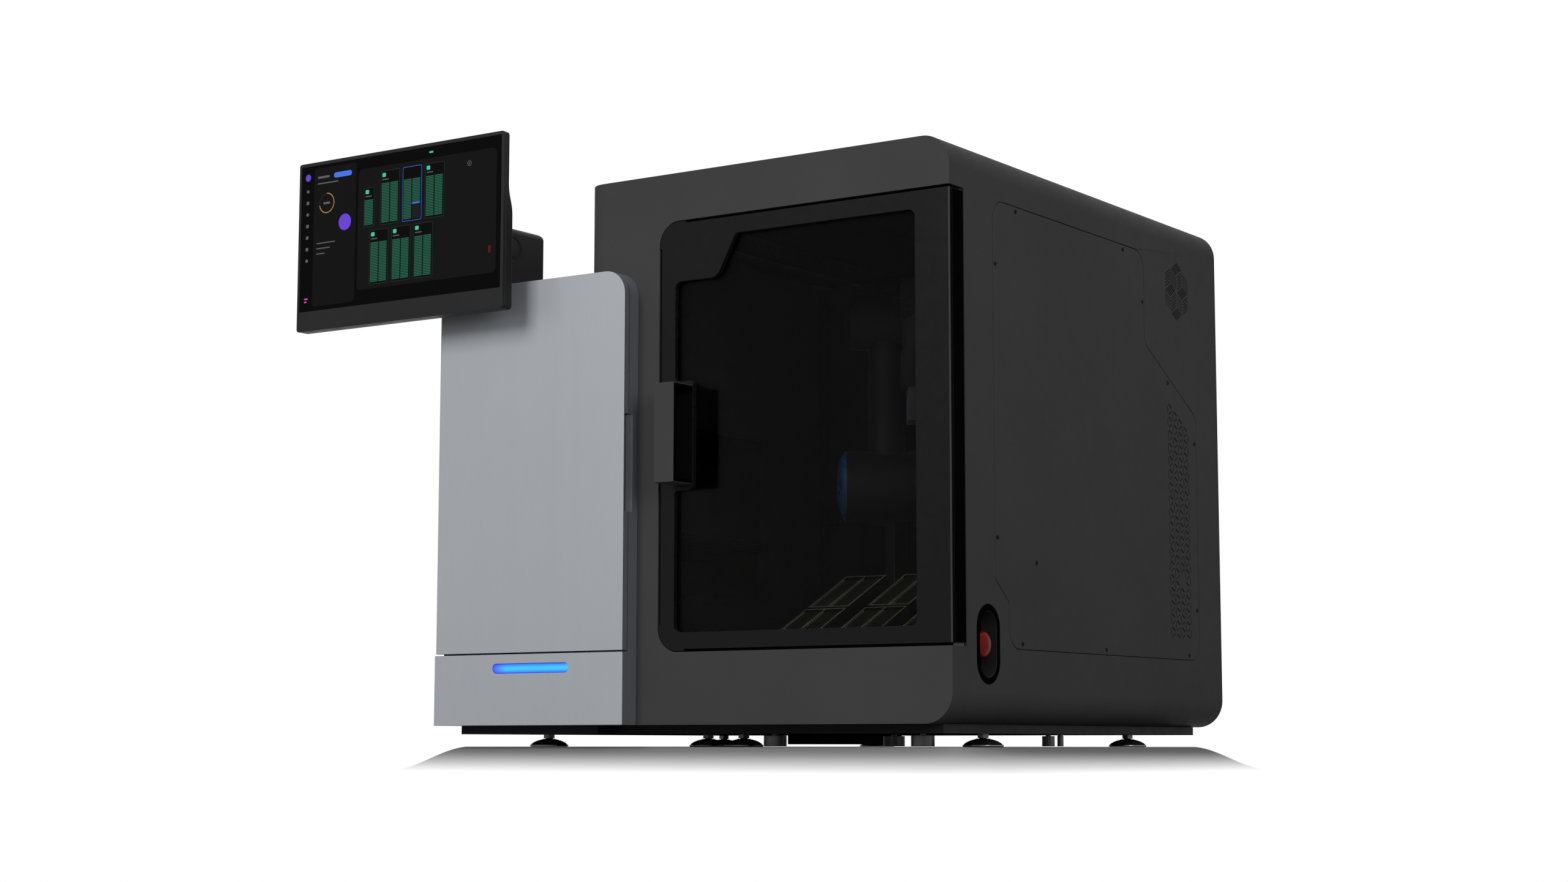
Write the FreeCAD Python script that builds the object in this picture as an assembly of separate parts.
import FreeCAD, Part
import math
import os

# Digital slide scanner: a dark cabinet with a glazed robot chamber, a pale loading pod on its
# left, a touch display on a block above the pod, and levelling feet below.
# The drawing frame has X to the right, Y to the back and Z up. Its zero is the cabinet's front
# right edge on the floor. At the end every piece is moved to the row frame, whose origin is the
# middle of the whole object's footprint.

# Cabinet sizes
body_width = 530.0
body_depth = 716.0
body_height = 674.0
ground_gap = 26.0
body_corner_radius = 36.0
fascia_corner_margin = 3.0
skin = 4.0
fascia_wall = 4.0
rear_cover_wall = 4.0
overrun = 5.0
contact_gap = 0.3
running_gap = 0.05

# Glazed door sizes
door_width = 412.0
door_head = 60.0
door_sill = 87.0
door_corner_radius = 29.0
door_thickness = 18.0
door_return_depth = 31.0
door_return_wall = 16.0
door_return_gap = 2.0
door_groove_front = 3.0
door_groove_width = 3.5
door_groove_depth = 2.2
door_gap_run = 3.4
door_gap_corner = 1.0
door_gap_step_run = 39.0
door_gap_step_rise = 33.0
door_edge_chamfer = 1.5
jamb_wall = 3.0
seal_lip_width = 14.0
seal_lip_wall = 3.0
seal_lip_right = 29.0
seal_width = 8.0
seal_height = 4.2
seal_inset = 5.0
window_lip = 7.0
window_left = 24.0
window_right = 46.4
window_top = 24.5
window_bottom = 23.5
window_step_drop = 51.5
window_step_run = 62.0
window_ramp_run = 28.0
window_corner_radius = 9.0
window_ramp_radius = 16.0
glass_thickness = 5.0
glass_overlap = 9.5
glass_clearance = 0.5
retainer_width = 8.0
handle_width = 29.5
handle_height = 121.0
handle_reach = 40.0
handle_bottom = 201.0
handle_left = 22.0
handle_pod_room = 54.0
handle_wall = 6.0
handle_tab_margin = 6.0
door_pin_radius = 4.0
door_pin_inset_x = 8.0
door_pin_inset_y = 8.0
door_pin_depth = 12.0
hinge_block_width = 20.0
hinge_block_height = 18.0

# Loading pod sizes
pod_width = 300.0
pod_overlap = 86.0
pod_reach = 28.0
pod_height = 556.0
pod_depth = 600.0
pod_corner_radius = 30.0
pod_side_inset = 6.0
pod_door_thickness = 9.0
pod_door_gap = 2.0
pod_lower_height = 88.0
pod_opening_margin = 12.0
pod_opening_radius = 10.0
pod_notch_height = 120.0
pod_notch_bottom = 258.0
pod_notch_depth = 7.0
pod_notch_radius = 21.8
pod_notch_lip = 1.8
light_length = 120.0
light_height = 11.5
light_bottom = 64.5
light_left = 96.0
light_depth = 6.0
pod_knuckle_height = 30.0
pod_knuckle_margin = 42.0
pod_pin_radius = 1.8
pod_door_skin = 1.2
pod_pin_grip = 10.0
hinge_leaf_width = 12.0
hinge_leaf_wall = 1.6
shelf_wall = 3.0
shelf_count = 3
shelf_runner = 10.0
port_depth = 240.0
port_height = 220.0
port_front = 150.0
port_bottom = 170.0

# Display sizes
display_width = 353.0
display_height = 225.0
display_overhang = 205.0
display_drop = 41.0
display_front = 80.0
bezel_depth = 5.0
display_slim = 11.5
display_thick = 19.0
display_slim_height = 65.0
display_curve_height = 42.0
display_corner_radius = 4.0
screen_width = 344.2
screen_height = 193.6
screen_top_margin = 5.0
screen_left_margin = 4.4
screen_glass = 1.6
block_width = 108.0
block_depth = 88.0
block_height = 74.0
block_back = 48.0
block_wall = 8.0
block_top_radius = 8.0
swivel_plate_height = 2.0
swivel_plate_radius = 30.0
swivel_inset = 44.0
swivel_y = 6.0
swivel_pin_radius = 9.0
tilt_y = -12.0
tilt_rise = 48.0
pivot_disc_radius = 18.5
tilt_axle_radius = 8.0
tilt_arm_width = 44.0
tilt_arm_height = 14.0
tilt_hub_radius = 13.0
tilt_slot_height = 38.0
tilt_plate_width = 80.0
tilt_plate_height = 60.0
tilt_plate_wall = 4.0

# Right side sizes: removable panel, vents and stop button
panel_wall = 2.2
panel_gap = 0.8
panel_ledge = 10.0
panel_front = 99.5
panel_rear_margin = 68.0
panel_low = 112.5
panel_top_margin = 60.3
panel_upper_rear_margin = 218.5
panel_step_low_drop = 262.0
panel_step_high_drop = 180.0
panel_cut_rear = 131.0
panel_cut_low = 167.0
panel_cut_high = 192.0
panel_corner_radius = 25.0
panel_bend_radius = 18.0
vent_front_margin = 153.4
vent_top_drop = 251.0
vent_floor = 139.0
vent_pitch = 17.2
vent_column_count = 5
vent_slit_length = 10.6
vent_slit_width = 1.9
vent_stud_margin = 116.0
vent_stud_z = 213.0
vent_stud_clearance = 9.0
vent_filter_margin = 5.0
vent_filter_wall = 1.8
cube_vent_margin = 120.7
cube_vent_drop = 99.0
cube_vent_edge = 20.2
cube_slit_count = 5
cube_slit_width = 1.9
cube_slit_margin = 1.6
cube_filter_margin = 6.0
cube_filter_wall = 1.5
screw_head_radius = 2.8
screw_head_height = 0.7
screw_shank_radius = 1.5
screw_shank_length = 7.0
screw_hole_gap = 0.25
recess_y = 82.0
recess_z = 117.0
recess_width = 54.0
recess_height = 92.0
recess_rim = 7.8
recess_depth = 20.0
recess_wall = 2.0
button_radius = 15.0
button_sink = 4.5
button_travel = 5.0
button_height = 9.0
button_stem_radius = 6.0
button_stem_length = 8.0

# Underside sizes
tray_height = 10.6
tray_wall = 3.0
tray_inset = 30.0
pod_tray_inset = 25.0
foot_radius = 24.5
foot_rim_height = 2.8
foot_dome_height = 7.0
foot_neck_radius = 8.0
stud_radius = 5.0
nut_flats = 13.0
nut_height = 5.0
post_clearance = 0.5
post_height = 13.0
post_stud_radius = 3.3
pan_width = 107.0
pan_depth = 120.0
pan_ground_gap = 3.0
pan_margin = 8.0
pan_rear_margin = 196.0

# Inner structure sizes
frame_bar = 16.0
deck_wall = 6.0
rib_width = 10.0
rib_margin = 46.0
bulkhead_margin = 176.0
bulkhead_wall = 4.0
controller_width = 230.0
controller_depth = 130.0
controller_height = 300.0
controller_wall = 1.5
fan_size = 92.0
fan_depth = 20.0
fan_bore_radius = 43.0
fan_tip_gap = 1.5
fan_hub_radius = 18.0
fan_pin_radius = 3.0
fan_spoke_width = 5.0
fan_plate_wall = 3.0
fan_blade_count = 7
fan_blade_wall = 2.0
fan_blade_pitch_deg = 35.0
lower_fan_margin = 120.0
lower_fan_drop = 119.0
fan_bracket_wall = 2.0

# Slide racks, set in two rows on a cradle that slopes to the door
rack_width = 60.0
rack_length = 98.0
rack_height = 54.0
rack_wall = 2.5
rack_pitch = 87.0
rack_column_count = 3
rack_row_gap = 5.0
rack_row_count = 2
rack_left = 303.0
rack_front = 72.6
rack_front_top = 126.2
rack_slope_deg = 26.0
cradle_wall = 4.0
slide_wall = 1.0
slide_width = 25.4
slide_length = 76.2
slide_pitch = 5.0
slide_count = 18

# Robot arm
robot_heading_deg = 34.0
robot_x = -193.0
robot_rear_room_share = 0.2306
robot_foot_radius = 62.0
robot_foot_wall = 12.0
robot_column_radius = 46.0
robot_shoulder_z = 333.0
turret_radius = 44.0
turret_height = 88.0
turret_stub_radius = 40.0
turret_reach = 50.0
shoulder_radius = 45.0
shoulder_length = 106.0
cap_height = 12.0
upper_arm_rise = 212.0
upper_arm_radius = 24.0
elbow_radius = 35.0
elbow_length = 84.0
forearm_housing_length = 70.0
forearm_reach = 180.0
forearm_radius = 20.0
wrist_radius = 27.0
wrist_length = 60.0
gripper_width = 56.0
gripper_depth = 36.0
gripper_height = 46.0
gripper_drop = 64.0
gripper_neck_radius = 17.0
jaw_width = 9.0
jaw_depth = 22.0
jaw_length = 42.0
jaw_gap = 30.0
jaw_rail_height = 6.0

# Scan unit
scan_width = 150.0
scan_depth = 140.0
scan_base_height = 46.0
scan_clearance = 21.0
scan_column_width = 90.0
scan_column_depth = 36.0
scan_column_height = 270.0
stage_width = 110.0
stage_depth = 80.0
stage_wall = 14.0
stage_rail_height = 6.0
stage_rail_width = 12.0
stage_travel = 40.0
head_width = 60.0
head_depth = 62.0
head_height = 90.0
head_rise = 96.0
head_travel = 20.0
objective_radius = 13.0
objective_length = 34.0

# Rear services
inlet_width = 48.0
inlet_height = 28.0
inlet_flange = 2.0
inlet_depth = 24.0
inlet_cavity_width = 25.0
inlet_cavity_height = 17.0
inlet_cavity_depth = 16.0
inlet_x = -96.0
inlet_z = 92.0
switch_spacing = 48.0
switch_width = 20.0
switch_height = 30.0
switch_depth = 10.0
switch_gap = 1.2
switch_pin_radius = 2.0

# Derived places of the main volumes
body_bottom = ground_gap
body_top = body_bottom + body_height
door_low = body_bottom + door_sill
door_height = body_height - door_sill - door_head
door_high = door_low + door_height
fascia_depth = door_return_depth + door_return_gap
cover_front = body_depth - rear_cover_wall
pod_right = pod_overlap - body_width
pod_left = pod_right - pod_width
pod_front = -pod_reach
pod_shell_front = pod_front + pod_door_thickness + pod_door_gap
pod_shell_left = pod_left + pod_side_inset
pod_top = body_bottom + pod_height
pod_rear = pod_front + pod_depth
pod_split = body_bottom + pod_lower_height
deck_low = body_bottom + body_corner_radius
deck_top = deck_low + deck_wall
inner_left = skin - body_width
inner_right = -skin
frame_top = body_top - body_corner_radius
tray_low = body_bottom - tray_height
panel_rear = body_depth - panel_rear_margin
panel_upper_rear = body_depth - panel_upper_rear_margin
panel_high = body_top - panel_top_margin
panel_step_low = body_top - panel_step_low_drop
panel_step_high = body_top - panel_step_high_drop
vent_front = body_depth - vent_front_margin
vent_high = body_top - vent_top_drop
vent_row_count = int((vent_high - vent_floor) / vent_pitch)
vent_stud_y = body_depth - vent_stud_margin
cube_vent_y = body_depth - cube_vent_margin
cube_vent_z = body_top - cube_vent_drop
lower_fan_y = body_depth - lower_fan_margin
lower_fan_z = vent_high - lower_fan_drop
bulkhead_y = body_depth - bulkhead_margin
display_left = pod_left - display_overhang
display_bottom = pod_top - display_drop
swivel_x = pod_left + swivel_inset
rack_run = rack_row_count * rack_length + (rack_row_count - 1) * rack_row_gap
rack_slope = math.radians(rack_slope_deg)
rack_rear = rack_front + rack_run * math.cos(rack_slope) + rack_height * math.sin(rack_slope)
robot_front_limit = rack_rear + robot_foot_radius
robot_rear_limit = bulkhead_y - robot_foot_radius
robot_y = robot_front_limit + robot_rear_room_share * (robot_rear_limit - robot_front_limit)
door_axis_x = -door_pin_inset_x
door_axis_y = door_pin_inset_y
pod_knuckle_radius = pod_door_thickness / 2
pod_axis_x = pod_left + pod_knuckle_radius
pod_axis_y = pod_front + pod_knuckle_radius

# Places of the feet, as shares of the pod's width and depth from its front left corner and of the
# cabinet's from its front right corner; the posts' places and radii, in shares of the cabinet's size
# and of a foot's radius
pod_foot_shares = [(0.3459, 0.1732), (0.8794, 0.382), (0.21337, 0.90825)]
body_foot_shares = [(0.726, 0.201), (0.887, 0.827), (0.117, 0.246), (0.117, 0.775)]
post_place_shares = [(0.604, 0.165, 0.571), (0.509, 0.436, 0.571), (0.208, 0.165, 0.571),
                     (0.208, 0.598, 0.33), (0.151, 0.564, 0.16)]

# The upper vent's rhombs, each named by the middle of its left upright edge or left corner, in
# shares of the rhomb's edge: how far right and up it starts, and which way it leans
cube_rising_shares = [(-2, 0.5), (-1, -1.0), (0, 0.5), (1, -1.0)]
cube_upright_shares = [(-2, -0.5), (-1, 1.0), (0, -0.5), (1, 1.0)]
cube_lying_shares = [(-2, 0.0), (-1, 1.5), (0, 0.0), (-1, -1.5)]

# Screws round the side panel: shares of the panel's depth and height
panel_screw_shares = [(0.0105, 0.854), (0.1021, 0.9875), (0.617, 0.987), (0.7155, 0.873), (0.846, 0.6875),
                      (0.9885, 0.548), (0.9885, 0.126), (0.941, 0.0135), (0.507, 0.0135), (0.116, 0.0135),
                      (0.0105, 0.244), (0.1815, 0.198)]
rear_screw_shares = [(0.1, 0.03), (0.5, 0.03), (0.9, 0.03), (0.1, 0.97), (0.5, 0.97), (0.9, 0.97),
                     (0.025, 0.3), (0.025, 0.7), (0.975, 0.3), (0.975, 0.7)]


def box(x0, x1, y0, y1, z0, z1):
    """A box between its lowest and highest corners."""
    return Part.makeBox(x1 - x0, y1 - y0, z1 - z0, FreeCAD.Vector(x0, y0, z0))


def cylinder(start, end, radius):
    """A round bar from one point to another."""
    first = FreeCAD.Vector(*start)
    span = FreeCAD.Vector(*end) - first
    return Part.makeCylinder(radius, span.Length, first, span)


def rounded_wire(points, radii, lift):
    """A closed outline with a rounded corner at each point; lift turns (u, v) into a 3-D point."""
    edges = []
    starts = []
    ends = []
    middles = []
    count = len(points)
    for index in range(count):
        here = FreeCAD.Vector(points[index][0], points[index][1], 0)
        before = FreeCAD.Vector(points[index - 1][0], points[index - 1][1], 0)
        after = FreeCAD.Vector(points[(index + 1) % count][0], points[(index + 1) % count][1], 0)
        to_before = (before - here).normalize()
        to_after = (after - here).normalize()
        half_angle = to_before.getAngle(to_after) / 2
        setback = radii[index] / math.tan(half_angle)
        starts.append(here + to_before * setback)
        ends.append(here + to_after * setback)
        bisector = (to_before + to_after).normalize()
        middles.append(here + bisector * (radii[index] / math.sin(half_angle) - radii[index]))
    for index in range(count):
        if radii[index] > 0:
            edges.append(Part.Arc(lift(starts[index]), lift(middles[index]), lift(ends[index])).toShape())
        following = starts[(index + 1) % count]
        if (following - ends[index]).Length > running_gap / 2:
            edges.append(Part.makeLine(lift(ends[index]), lift(following)))
    return Part.Wire(edges)


def slab_along_y(points, radii, y0, y1):
    """A plate with an X-Z outline between two depths."""
    wire = rounded_wire(points, radii, lambda p: FreeCAD.Vector(p.x, y0, p.y))
    return Part.Face(wire).extrude(FreeCAD.Vector(0, y1 - y0, 0))


def slab_along_x(points, radii, x0, x1):
    """A plate with a Y-Z outline between two widths."""
    wire = rounded_wire(points, radii, lambda p: FreeCAD.Vector(x0, p.x, p.y))
    return Part.Face(wire).extrude(FreeCAD.Vector(x1 - x0, 0, 0))


def rectangle(u0, u1, v0, v1):
    """Corner points of a rectangle, from its lower left corner round."""
    return [(u0, v0), (u1, v0), (u1, v1), (u0, v1)]


def body_slab(inset, y0, y1):
    """The cabinet's cross-section, square at its left and rounded at its right, drawn in by an inset."""
    points = rectangle(inset - body_width, -inset, body_bottom + inset, body_top - inset)
    radius = body_corner_radius - inset
    return slab_along_y(points, [0, radius, radius, 0], y0, y1)


def robot_direction(along, across=0.0):
    """X and Y offsets along the robot's shoulder axis and square to it."""
    angle = math.radians(robot_heading_deg)
    return (-along * math.cos(angle) + across * math.sin(angle),
            -along * math.sin(angle) - across * math.cos(angle))


def robot_point(along, z, across=0.0):
    """A point placed along and across the shoulder axis, counted from the robot's upright axis."""
    offset = robot_direction(along, across)
    return (robot_x + offset[0], robot_y + offset[1], z)


def rack_point(across, along, up):
    """A point on the sloping racks: across to the right, up the slope and square to it."""
    slope = math.radians(rack_slope_deg)
    return FreeCAD.Vector(across - rack_left,
                          rack_front + along * math.cos(slope) - up * math.sin(slope),
                          rack_front_top + along * math.sin(slope) + up * math.cos(slope))


def on_slope(across0, across1, along0, along1, up0, up1):
    """A box laid on the racks' slope."""
    shape = box(across0, across1, along0, along1, up0, up1)
    shape.rotate(FreeCAD.Vector(0, 0, 0), FreeCAD.Vector(1, 0, 0), rack_slope_deg)
    shape.translate(FreeCAD.Vector(-rack_left, rack_front, rack_front_top))
    return shape


def joined(solids):
    """Several overlapping solids as one."""
    shape = solids[0].fuse(solids[1:])
    return shape.removeSplitter()


def group(solids):
    """Separate solids kept side by side in one node."""
    return Part.makeCompound(solids)


# Front fascia and glazed door

def door_opening(y0, y1, grow=0.0):
    """The doorway's outline, open past the cabinet's right side."""
    points = rectangle(-door_width - grow, overrun, door_low - grow, door_high + grow)
    radius = door_corner_radius + grow
    return slab_along_y(points, [radius, 0, 0, radius], y0, y1)


def door_pin_hole(radius):
    """Both pivot holes of the glazed door, from the upper bracket to the lower."""
    low = door_low - jamb_wall - hinge_block_height
    high = door_high + jamb_wall + hinge_block_height
    return cylinder((door_axis_x, door_axis_y, low), (door_axis_x, door_axis_y, high), radius)


def fascia_corner(inset):
    """What the fascia's upright left edge loses where it is rounded, above the pod."""
    radius = fascia_depth - fascia_corner_margin
    low = pod_top - inset
    edge = box(-body_width - overrun, radius - body_width, -overrun, radius, low, body_top + overrun)
    round_edge = cylinder((radius - body_width, radius, low - overrun),
                          (radius - body_width, radius, body_top + 2 * overrun), radius - inset)
    return edge.cut(round_edge)


def make_front_fascia():
    hollow = body_slab(fascia_wall, fascia_wall, fascia_depth + overrun).cut(fascia_corner(fascia_wall))
    pan = body_slab(0, 0, fascia_depth).cut(fascia_corner(0)).cut(hollow)
    jamb = door_opening(0, fascia_depth, jamb_wall).common(body_slab(0, 0, fascia_depth))
    pan = joined([pan, jamb]).cut(door_opening(-overrun, fascia_depth + overrun))
    lip_front = door_thickness + seal_height + contact_gap
    lip_outline = rectangle(-door_width, -seal_lip_right, door_low, door_high)
    lip_radii = [door_corner_radius, 0, 0, door_corner_radius]
    lip = slab_along_y(lip_outline, lip_radii, lip_front, lip_front + seal_lip_wall)
    lip_hole = rectangle(seal_lip_width - door_width, -seal_lip_right - seal_lip_width - 1.2 * running_gap,
                         door_low + seal_lip_width, door_high - seal_lip_width)
    hole_radii = [door_corner_radius - seal_lip_width, 0, 0, door_corner_radius - seal_lip_width]
    lip = lip.cut(slab_along_y(lip_hole, hole_radii, lip_front - overrun, lip_front + overrun))
    return joined([pan, lip]).cut(door_pin_hole(door_pin_radius + contact_gap))


def door_outline():
    """The door leaf: close to the doorway at its two left corners, further off along its edges."""
    left_run = door_gap_run - door_width
    left_ear = door_gap_corner - door_width
    low_run = door_low + door_gap_run
    low_ear = door_low + door_gap_corner
    high_run = door_high - door_gap_run
    high_ear = door_high - door_gap_corner
    step_x = door_gap_step_run - door_width
    step_low = door_low + door_gap_step_rise
    step_high = door_high - door_gap_step_rise
    points = [(left_ear, low_ear), (step_x, low_ear), (step_x, low_run), (0, low_run), (0, high_run),
              (step_x, high_run), (step_x, high_ear), (left_ear, high_ear), (left_ear, step_high),
              (left_run, step_high), (left_run, step_low), (left_ear, step_low)]
    corner = door_corner_radius - door_gap_corner
    radii = [corner, 0, 0, 0, 0, 0, 0, corner, 0, 0, 0, 0]
    return points, radii


def window_limits():
    """Left, right, bottom and top of the window in the door leaf."""
    return (window_left - door_width, -window_right, door_low + window_bottom, door_high - window_top)


def handle_limits():
    """Left, right, bottom and top of the handle, which keeps room for fingers beside the pod."""
    left = max(handle_left - door_width, pod_right + handle_pod_room)
    bottom = door_low + handle_bottom
    return (left, left + handle_width, bottom, bottom + handle_height)


def window_outline():
    """The window: a step and ramp at its upper left, and a tab behind the handle."""
    left, right, bottom, top = window_limits()
    tab_right = handle_limits()[1]
    tab_low = handle_limits()[2] - handle_tab_margin
    tab_high = handle_limits()[3] + handle_tab_margin
    step = top - window_step_drop
    ramp_start = left + window_step_run
    points = [(left, bottom), (right, bottom), (right, top), (ramp_start + window_ramp_run, top),
              (ramp_start, step), (left, step), (left, tab_high), (tab_right, tab_high),
              (tab_right, tab_low), (left, tab_low)]
    small = handle_tab_margin
    radii = [window_corner_radius, window_corner_radius, window_corner_radius, small,
             window_ramp_radius, window_corner_radius, small, small, small, small]
    return points, radii


def glass_limits(clearance=0.0):
    """The pane's rectangle, grown by a clearance."""
    left, right, bottom, top = window_limits()
    grow = glass_overlap + clearance
    return rectangle(left - grow, right + grow, bottom - grow, top + grow)


def make_door_frame():
    points, radii = door_outline()
    leaf = slab_along_y(points, radii, 0, door_thickness)
    side = box(-door_return_wall, 0, 0, door_return_depth, door_low + door_gap_run, door_high - door_gap_run)
    frame = joined([leaf, side])
    window_points, window_radii = window_outline()
    frame = frame.cut(slab_along_y(window_points, window_radii, -overrun, window_lip + overrun))
    pocket = slab_along_y(glass_limits(glass_clearance), [0] * 4, window_lip, door_thickness + overrun)
    frame = frame.cut(pocket)
    chamfer_points = [FreeCAD.Vector(0, 0, door_low), FreeCAD.Vector(-door_edge_chamfer, 0, door_low),
                      FreeCAD.Vector(0, door_edge_chamfer, door_low)]
    chamfer = Part.Face(Part.makePolygon(chamfer_points + chamfer_points[:1]))
    frame = frame.cut(chamfer.extrude(FreeCAD.Vector(0, 0, door_height)))
    frame = frame.cut(box(-door_groove_depth, overrun, door_groove_front, door_groove_front + door_groove_width,
                          door_low - overrun, door_high + overrun))
    depth = door_pin_depth + door_gap_run + contact_gap
    bore = door_pin_radius + running_gap
    lower = cylinder((door_axis_x, door_axis_y, door_low - overrun),
                     (door_axis_x, door_axis_y, door_low + depth), bore)
    upper = cylinder((door_axis_x, door_axis_y, door_high - depth),
                     (door_axis_x, door_axis_y, door_high + overrun), bore)
    return frame.cut(lower).cut(upper)


def make_door_glass():
    return slab_along_y(glass_limits(), [0] * 4, window_lip, window_lip + glass_thickness)


def make_glass_retainer():
    front = window_lip + glass_thickness
    outer = slab_along_y(glass_limits(), [0] * 4, front, door_thickness)
    left, right, bottom, top = window_limits()
    grow = glass_overlap - retainer_width
    inner = rectangle(left - grow, right + grow, bottom - grow, top + grow)
    return outer.cut(slab_along_y(inner, [0] * 4, front - overrun, door_thickness + overrun))


def make_door_seal():
    left = -door_width + seal_inset
    right = -seal_lip_right - (seal_lip_width - seal_width) / 2
    low = door_low + seal_inset
    high = door_high - seal_inset
    back = door_thickness + seal_height
    corner = door_corner_radius - seal_inset
    outer = slab_along_y(rectangle(left, right, low, high), [corner, 0, 0, corner], door_thickness, back)
    inner_points = rectangle(left + seal_width, right - seal_width, low + seal_width, high - seal_width)
    inner_radius = corner - seal_width
    inner = slab_along_y(inner_points, [inner_radius, 0, 0, inner_radius],
                         door_thickness - overrun, back + overrun)
    return outer.cut(inner)


def make_door_handle():
    left, right, bottom, top = handle_limits()
    body = box(left, right, -handle_reach, 0, bottom, top)
    hollow = box(left + handle_wall, right + overrun, handle_wall - handle_reach, overrun,
                 bottom + handle_wall, top - handle_wall)
    return body.cut(hollow)


def make_door_hinge_brackets():
    brackets = []
    right = inner_right
    left = right - hinge_block_width
    back = fascia_depth - jamb_wall
    reach = door_gap_run + door_pin_depth
    for edge, sign in ((door_high, 1), (door_low, -1)):
        seat = edge + sign * jamb_wall
        end = seat + sign * hinge_block_height
        block = box(left, right, fascia_wall, back, min(seat, end), max(seat, end))
        pin = cylinder((door_axis_x, door_axis_y, end), (door_axis_x, door_axis_y, edge - sign * reach),
                       door_pin_radius)
        brackets.append(joined([block, pin]))
    return group(brackets)


# Cabinet shell, rear cover and the right side's fittings

def panel_outline(inset):
    """The side panel's outline on the right side, drawn in by an inset; u is Y and v is Z."""
    front = panel_front + inset
    rear = panel_rear - inset
    low = panel_low + inset
    high = panel_high - inset
    upper_rear = panel_upper_rear - inset
    cut_rear = panel_cut_rear + inset
    bend = inset * math.tan(math.radians(30))
    points = [(cut_rear, low), (rear, low), (rear, panel_step_low - bend), (upper_rear, panel_step_high - bend),
              (upper_rear, high), (front, high), (front, panel_cut_high + bend), (cut_rear, panel_cut_low + bend)]
    corner = panel_corner_radius - inset
    radii = [corner, corner, panel_bend_radius, panel_bend_radius, corner, corner, panel_bend_radius / 2,
             panel_bend_radius / 2]
    return points, radii


def panel_screw_places():
    """Y and Z of each screw round the side panel."""
    depth = panel_rear - panel_front
    height = panel_high - panel_low
    return [(panel_front + share_y * depth, panel_low + share_z * height)
            for share_y, share_z in panel_screw_shares]


def rear_screw_places():
    """X and Z of each screw of the rear cover."""
    return [(-share_x * body_width, body_bottom + share_z * body_height) for share_x, share_z in rear_screw_shares]


def screw_holes_on_side():
    """Clearance holes for the side panel's screws."""
    radius = screw_shank_radius + screw_hole_gap
    return group([cylinder((-skin - overrun, y, z), (overrun, y, z), radius) for y, z in panel_screw_places()])


def screw_holes_on_rear():
    """Clearance holes for the rear cover's screws."""
    radius = screw_shank_radius + screw_hole_gap
    return group([cylinder((x, cover_front - screw_shank_length - overrun, z), (x, body_depth + overrun, z), radius)
                  for x, z in rear_screw_places()])


def side_slit(y, z, angle_deg, length, width):
    """A straight slit through the right side, centred on a point and turned up from level."""
    slit = box(-skin - overrun, overrun, -length / 2, length / 2, -width / 2, width / 2)
    slit.rotate(FreeCAD.Vector(0, 0, 0), FreeCAD.Vector(1, 0, 0), angle_deg)
    slit.translate(FreeCAD.Vector(0, y, z))
    return slit


def vent_node(column, row):
    """Y and Z of a node of the lower vent's triangles, counted to the back and down."""
    return (vent_front + column * vent_pitch * math.cos(math.radians(30)),
            vent_high - (row + column / 2) * vent_pitch)


def vent_rows(column):
    """How many upright slits a column of the lower vent has."""
    return vent_row_count - (column + 1) // 2


def lower_vent_slits():
    """One slit in the middle of each side of the vent's triangles, apart from a blank round a stud."""
    places = []
    for column in range(vent_column_count):
        for row in range(vent_rows(column) + 1):
            y, z = vent_node(column, row)
            if row < vent_rows(column):
                places.append((y, z - vent_pitch / 2, 90))
            if column == vent_column_count - 1:
                continue
            middle = (y + vent_node(column + 1, row)[0]) / 2
            if row <= vent_rows(column + 1):
                places.append((middle, z - vent_pitch / 4, -30))
            if row > 0:
                places.append((middle, z + vent_pitch / 4, 30))
    return group([side_slit(y, z, angle, vent_slit_length, vent_slit_width) for y, z, angle in places
                  if math.hypot(y - vent_stud_y, z - vent_stud_z) > vent_stud_clearance])


def cube_vent_slits():
    """Parallel slits in the rhombs of the upper vent, which look like stacked cubes."""
    slits = []
    edge = cube_vent_edge
    column = edge * math.cos(math.radians(30))
    length = edge - 2 * cube_slit_margin
    offsets = [(index + 0.5) / cube_slit_count - 0.5 for index in range(cube_slit_count)]
    for across, up in cube_rising_shares:
        y = cube_vent_y + (across + 0.5) * column
        z = cube_vent_z + (up + 0.25) * edge
        for offset in offsets:
            slits.append(side_slit(y, z + offset * edge, 30, length, cube_slit_width))
    for across, up in cube_upright_shares:
        y = cube_vent_y + (across + 0.5) * column
        z = cube_vent_z + (up - 0.25) * edge
        for offset in offsets:
            slits.append(side_slit(y + offset * column, z - offset * edge / 2, 90, length, cube_slit_width))
    for across, up in cube_lying_shares:
        y = cube_vent_y + (across + 1) * column
        z = cube_vent_z + up * edge
        for offset in offsets:
            slits.append(side_slit(y + offset * column, z + offset * edge / 2, -30, length, cube_slit_width))
    return group(slits)


def hexagon(grow):
    """The upper vent's upright hexagon; u is Y and v is Z."""
    radius = 2 * cube_vent_edge + grow
    return [(cube_vent_y + radius * math.sin(math.radians(60 * k)),
             cube_vent_z + radius * math.cos(math.radians(60 * k))) for k in range(6)]


def stadium(grow, x0, x1):
    """The stop button's oval recess between two widths."""
    half_width = recess_width / 2 + grow
    half_height = recess_height / 2 + grow
    points = rectangle(recess_y - half_width, recess_y + half_width, recess_z - half_height, recess_z + half_height)
    return slab_along_x(points, [half_width - running_gap] * 4, x0, x1)


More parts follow.
